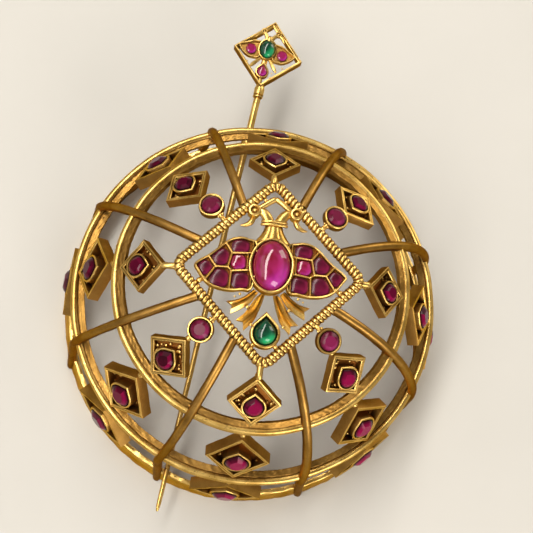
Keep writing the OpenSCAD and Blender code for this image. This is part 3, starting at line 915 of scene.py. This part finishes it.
def neck_and_head(shape, s):
    neck = smooth_line([(s * 0.95, 9.5, 0.7), (s * 1.35, 10.2, 0.85), (s * 2.0, 10.9, 0.9),
                        (s * 2.9, 11.2, 0.85)], 6)
    tube(shape, neck, taper(neck, [0, 0.5, 1], [0.95, 0.88, 0.72]), 16, flat=0.75, place=bird_place)
    eye_x, eye_y = s * EYE_AT[0], EYE_AT[1]
    eye = oval(EYE_R, EYE_R, 32, eye_x, eye_y)
    band(shape, eye, EYE_RING, bird_place)
    plate(shape, inset(eye, 0.3), 0.1, 1.5, bird_place, SHADED_AGED)
    ball(shape, (eye_x, eye_y, 1.7), 0.38, bird_place, 12)
    beak = smooth_line([(s * 3.7, 9.95, 0.6), (s * 3.95, 9.3, 0.65), (s * 4.4, 8.8, 0.65),
                        (s * 5.1, 8.48, 0.6), (s * 5.8, 8.4, 0.55)], 5)
    tube(shape, beak, taper(beak, [0, 0.4, 0.75, 1], [0.5, 0.5, 0.33, 0.12]), 12, flat=0.9, place=bird_place)
    crest = smooth_line([(s * 2.75, 11.75, 0.7), (s * 1.9, 12.35, 0.75), (s * 1.05, 13.0, 0.75),
                         (s * 0.2, 13.55, 0.7)], 5)
    tube(shape, crest, 0.52, 12, place=bird_place)
    ball(shape, (s * 1.8, 13.25, 0.8), 0.38, bird_place, 10)


# right tail feathers: root to outer tip, groove from root to fork, root to inner tip
FEATHERS = [
    ([(2.7, -2.7), (4.2, -4.05), (5.5, -4.75), (7.15, -5.15)],
     [(2.3, -3.0), (3.75, -4.35), (5.0, -5.15), (6.2, -5.85)],
     [(1.9, -3.3), (3.2, -5.2), (4.8, -6.4), (6.35, -7.25)]),
    ([(1.5, -3.4), (2.4, -4.4), (3.8, -6.75), (5.3, -8.3)],
     [(1.1, -3.5), (1.8, -5.4), (2.65, -6.85), (4.05, -8.5)],
     [(0.7, -3.6), (1.35, -5.9), (2.3, -8.2), (3.95, -10.0)]),
]


def feather(shape, outer, middle, inner):
    """Two blades side by side, a ridge along each and a groove between them that ends in a fork."""
    lines = [smooth_line([(*point, 0.0) for point in line], 6)[:, :2] for line in (outer, middle, inner)]
    count = len(lines[0])
    t = np.linspace(0, 1, count)
    a, m, b = lines
    am = (a + m) / 2
    mb = (m + b) / 2
    top = np.interp(t, [0, 0.5, 1], [0.95, 1.2, 1.1])
    ring = []
    for line, z in ((a, 0.1), (a, 0.66), (am, top), (m, 0.64), (mb, top), (b, 0.66), (b, 0.1), (m, 0.05)):
        ring.append(np.column_stack([line, z + 0 * t]))
    rows = np.stack(ring, 1)
    last = (count - 1) * 8
    faces = [[i * 8 + j, i * 8 + (j + 1) % 8, (i + 1) * 8 + (j + 1) % 8, (i + 1) * 8 + j]
             for i in range(count - 1) for j in range(8)]
    faces += [[0, 1, 2, 3, 7], [7, 3, 4, 5, 6], [last + j for j in (0, 1, 2, 3, 7)],
              [last + j for j in (7, 3, 4, 5, 6)]]
    shape.add(bird_place(rows), faces)


def tail(shape, s):
    flip = np.array([s, 1])
    for lines in FEATHERS:
        outer, middle, inner = [np.array(line) * flip for line in lines]
        feather(shape, outer, middle, inner)
    for x, y, r in ((3.55, -5.95, 0.34), (5.0, -3.8, 0.28), (5.85, -4.3, 0.2), (2.75, -8.9, 0.3)):
        ball(shape, (s * x, y, 0.9), r, bird_place, 9)


bird(crown)
make("crown_gold", crown, "cage", GOLDS, ["crown"])

shape = Shape()
stone(shape, oval(3.26, 4.46, 64, *BODY_AT), dome(1.2, 2.3), bird_place, BODY_AT)
make("centre_cabochon", shape, "cage", (magenta,), ["centre_stone"], 60)
shape = Shape()
stone(shape, pear(1.94, 48), dome(1.1, 1.4), bird_place, PEAR_AT)
make("green_drop", shape, "cage", (green,), ["pear_stone"], 60)


# hair stick: the pin, and a head with a bird; its body and its crest each have a middle line
HEAD_MID = -0.38
CREST_MID = -0.3
STICK_OVAL = (-0.88, HEAD_MID)
STICK_DROP = (4.1, HEAD_MID)
STICK_ROUND_X = -0.3
HEAD_WALL = [(0.0, -2.38), (0.0, -0.1), (0.08, -0.01), (0.24, -0.01), (0.3, -0.16), (0.32, -0.34),
             (0.46, -0.36), (0.52, -0.46), (0.52, -2.38)]
HEAD_FINISH = [SHADED_AGED, POLISHED, POLISHED, POLISHED, SHADED_AGED, POLISHED, POLISHED, SHADED_AGED, SHADED_AGED]
LEAF = [(-2.0, 1.2), (-2.3, 2.4), (-2.1, 3.4), (-1.4, 4.7), (-0.7, 6.0), (0.6, 5.2), (1.5, 3.8), (1.6, 2.6),
        (1.2, 1.4)]
LEAF_RIM = [(0, -0.98), (0, -0.12), (0.08, 0.0), (0.24, 0.0), (0.34, -0.12), (0.34, -0.6)]
STICK_EYE_RIM = [(0, -0.9), (0, -0.1), (0.08, -0.02), (0.2, -0.02), (0.28, -0.15), (0.28, -0.9)]
STICK_BEZEL = [(0, -0.98), (0, 0.02), (0.08, 0.16), (0.22, 0.18), (0.34, 0.06), (0.36, -0.5)]
LOW_DOME = [(0.9, -0.5), (1.0, -0.3), (1.0, -0.1), (0.9, 0.1), (0.7, 0.25), (0.4, 0.33), (0.1, 0.36)]
LOW_CUT = [(0.9, -0.55), (1.0, -0.4), (1.0, -0.2), (0.85, -0.05), (0.6, 0.05)]


def head_drop(radius, count):
    return drop(radius, radius * 1.5, count) + np.array(STICK_DROP)


def pin(shape):
    """The ferrule and the tapering pin, by places along the stick and radii."""
    profile = [(HEAD_AT + 6.5, 0.7), (-9.3, 0.9), (-8.95, 1.05), (-8.1, 1.02), (-7.6, 1.04), (-7.45, 0.8),
               (-7.3, 0.82), (-7.2, 1.06), (-7.0, 1.03), (-6.8, 0.66)]
    for x in np.linspace(PIN_FROM, PIN_TO, 70):
        profile.append((x, PIN_R + (PIN_TIP_R - PIN_R) * (x - PIN_FROM) / (PIN_TO - PIN_FROM)))
    profile += [(TIP_AT - 2, 0.43), (TIP_AT - 0.9, 0.38), (TIP_AT - 0.2, 0.26), (TIP_AT, 0.1)]
    a = np.linspace(0, 2 * math.pi, 20, endpoint=False)
    rows = np.array([np.stack([np.full(20, x), r * np.cos(a), r * np.sin(a)], -1) for x, r in profile])
    rows[..., 1] += 0.02 * ripple(rows, 7.0, 71)
    shape.grid(stick_place(rows), caps=True)


def leaf(s):
    """The outline of the head's wing on side s."""
    return (leaf_line * np.array([1, s]))[::s] + np.array([-0.1, HEAD_MID])


def head_line(points, s, count, middle):
    """A smooth line given on one side of a middle line, laid out on side s."""
    return smooth_line([(x, s * y + middle, z) for x, y, z in points], count)


leaf_line = spread(smooth_closed(LEAF, 8), 48)[::-1]
stick = Shape()
pin(stick)
band(stick, stepped(kite(7.2, 7.2), 0.8), HEAD_WALL, head_place, HEAD_FINISH, 0.03, 72)
for s in (-1, 1):
    line = leaf(s)
    plate(stick, inset(line, 0.05), -0.98, -0.5, head_place, SHADED_AGED)
    band(stick, line, LEAF_RIM, head_place)
    plume = head_line([(1.2, 1.0, -0.4), (2.4, 1.9, -0.35), (3.5, 2.8, -0.4)], s, 5, HEAD_MID)
    tube(stick, plume, taper(plume, [0, 0.7, 1], [0.3, 0.42, 0.2]), 8, place=head_place)
    eye = (-4.7, s * 1.55 + CREST_MID)
    band(stick, oval(0.62, 0.62, 18, *eye), STICK_EYE_RIM, head_place)
    ball(stick, (*eye, -0.3), 0.2, head_place, 8)
    neck = [(-3.0, s * 0.4 + HEAD_MID, -0.4), (-3.8, s * 0.8 + HEAD_MID, -0.35), (-4.4, s * 1.3 - 0.35, -0.4)]
    tube(stick, smooth_line(neck, 4), 0.42, 8, place=head_place)
    hook = head_line([(-4.3, 2.0, -0.4), (-3.9, 2.6, -0.4), (-3.2, 3.0, -0.45)], s, 4, CREST_MID)
    tube(stick, hook, (0.3, 0.3, 0.3, 0.3, 0.28, 0.26, 0.24, 0.2, 0.12), 8, place=head_place)
    crest = head_line([(-5.1, 1.2, -0.4), (-5.9, 0.4, -0.4), (-6.4, 0.0, -0.4)], s, 4, CREST_MID)
    tube(stick, crest, 0.26, 8, place=head_place)
tube(stick, [(-2.6, HEAD_MID, -0.5), (-3.4, HEAD_MID, -0.45)], 0.7, 10, place=head_place)
tube(stick, [(1.2, HEAD_MID, -0.6), (2.4, HEAD_MID, -0.6)], 0.6, 10, flat=0.6, place=head_place)
tube(stick, [(5.2, -0.36, -0.6), (6.4, -0.3, -0.6)], 0.4, 8, place=head_place)
for x, y, r in ((2.3, 3.6, 0.2), (4.9, 1.5, 0.2), (3.9, 1.6, 0.17), (2.4, -3.9, 0.18)):
    ball(stick, (x, y, -0.4), r, head_place, 8)
for line, seed in ((oval(2.35, 1.95, 44, *STICK_OVAL), 73), (head_drop(1.4, 26), 74)):
    band(stick, line, STICK_BEZEL, head_place, POLISHED, 0.01, seed)
    plate(stick, inset(line, 0.3), -0.98, -0.6, head_place, SHADED_AGED)
make("stick_gold", stick, "hair_stick", GOLDS, ["stick"])

shape = Shape()
stone(shape, oval(1.98, 1.6, 40, *STICK_OVAL), dome(-0.25, 1.15, 0.8), head_place, STICK_OVAL)
make("stick_green", shape, "hair_stick", (green,), ["stick_oval_stone"], 60)
shape = Shape()
stone(shape, head_drop(1.02, 20), LOW_DOME, head_place, STICK_DROP)
make("stick_pink", shape, "hair_stick", (magenta,), ["stick_pear_stone"], 60)
for s, word in ((-1, "left"), (1, "right")):
    shape = Shape()
    middle = (STICK_ROUND_X, s * 3.3 + HEAD_MID)
    stone(shape, oval(1.12, 1.12, 12, *middle), LOW_CUT, head_place, middle)
    nodes = ["stick_%s_stone" % word]
    make("stick_%s_round" % word, shape, "hair_stick", (magenta,), nodes, 15)


# floor, lights and camera

FLOOR_REACH = 3.0
floor_mesh = bpy.data.meshes.new("floor")
floor_corners = [(x * FLOOR_REACH, y * FLOOR_REACH, 0) for x, y in ((-1, -1), (1, -1), (1, 1), (-1, 1))]
floor_mesh.from_pydata(floor_corners, [], [(0, 1, 2, 3)])
floor = bpy.data.objects.new("floor", floor_mesh)
bpy.context.scene.collection.objects.link(floor)
floor_finish, floor_nodes, floor_links, floor_shader = blank("pale_floor")
floor_place = floor_nodes.new("ShaderNodeTexCoord")
floor_cloud = noise(floor_nodes, floor_links, floor_place, 30, 4)
floor_colour = blend(floor_nodes, floor_links, floor_cloud, (0.44, 0.425, 0.40), (0.48, 0.465, 0.44))
floor_links.new(floor_colour, floor_shader.inputs["Base Color"])
floor_shader.inputs["Roughness"].default_value = 0.85
floor_mesh.materials.append(floor_finish)


def area_light(name, place_m, target_z, width, length, power, colour, spin):
    """A softbox at a place, facing a height on the Z axis, turned by spin about its own axis."""
    data = bpy.data.lights.new(name, "AREA")
    data.shape = "RECTANGLE"
    data.size = width
    data.size_y = length
    data.energy = power
    data.color = colour
    light = bpy.data.objects.new(name, data)
    away = unit(np.array(place_m) - np.array([0, 0, target_z]))
    across = unit(np.cross((0, 1, 0), away))
    up = np.cross(away, across)
    basis = Matrix([[across[i], up[i], away[i], place_m[i]] for i in range(3)] + [[0, 0, 0, 1]])
    light.matrix_world = basis @ Matrix.Rotation(math.radians(spin), 4, "Z")
    bpy.context.scene.collection.objects.link(light)


# softboxes: place and target height in metres, width, length, power, colour and spin
LIGHTS = (
    ("strip", (-0.25, 0.1, 0.7), 0.03, 0.15, 1.6, 10, (1.0, 0.97, 0.90), -17),
    ("left", (-0.75, 0.05, 0.75), 0.03, 0.5, 1.2, 2.5, (1.0, 0.95, 0.92), 0),
    ("key", (1.1, 1.0, 0.42), 0.02, 1.1, 0.6, 10, (1.0, 0.94, 0.84), 0),
    ("front", (0.5, -0.95, 0.55), 0.02, 0.8, 0.5, 9, (1.0, 0.94, 0.86), 0),
)
for light in LIGHTS:
    area_light(*light)


def studio_world():
    """Soft light from a band above the horizon, brightest in front on the right, and a dim ceiling."""
    made = bpy.data.worlds.new("studio")
    made.use_nodes = True
    nodes = made.node_tree.nodes
    links = made.node_tree.links
    place = nodes.new("ShaderNodeTexCoord")
    split = nodes.new("ShaderNodeSeparateXYZ")
    links.new(place.outputs["Generated"], split.inputs[0])
    rise = span(nodes, links, split.outputs["Z"], 0.1, 0.25, 0.0, 1.0)
    fall = span(nodes, links, split.outputs["Z"], 0.65, 0.88, 1.0, 0.0)
    side = nodes.new("ShaderNodeVectorMath")
    side.operation = "DOT_PRODUCT"
    side.inputs[1].default_value = (0.5, -0.85, 0.0)
    links.new(place.outputs["Generated"], side.inputs[0])
    front = span(nodes, links, side.outputs["Value"], -0.7, 0.9, 0.45, 1.0)
    band_light = combine(nodes, links, combine(nodes, links, rise, fall), front)
    colour = blend(nodes, links, band_light, (0.36, 0.33, 0.28), (1.0, 0.95, 0.86))
    links.new(colour, nodes["Background"].inputs["Color"])
    nodes["Background"].inputs["Strength"].default_value = 0.62
    return made


bpy.context.scene.world = studio_world()
bpy.context.scene.view_settings.view_transform = "Standard"

camera_data = bpy.data.cameras.new("camera")
camera_data.lens = 67.54
camera_data.sensor_width = 36
camera = bpy.data.objects.new("camera", camera_data)
right = (0.9914, 0.0722, 0.1088)
down = (0.0962, -0.9672, -0.2350)
ahead = (0.0882, 0.2435, -0.9659)
spot = (-0.01534, -0.04030, 0.20579)
camera.matrix_world = Matrix([[right[i], -down[i], -ahead[i], spot[i]] for i in range(3)] + [[0, 0, 0, 1]])
bpy.context.scene.collection.objects.link(camera)
bpy.context.scene.camera = camera
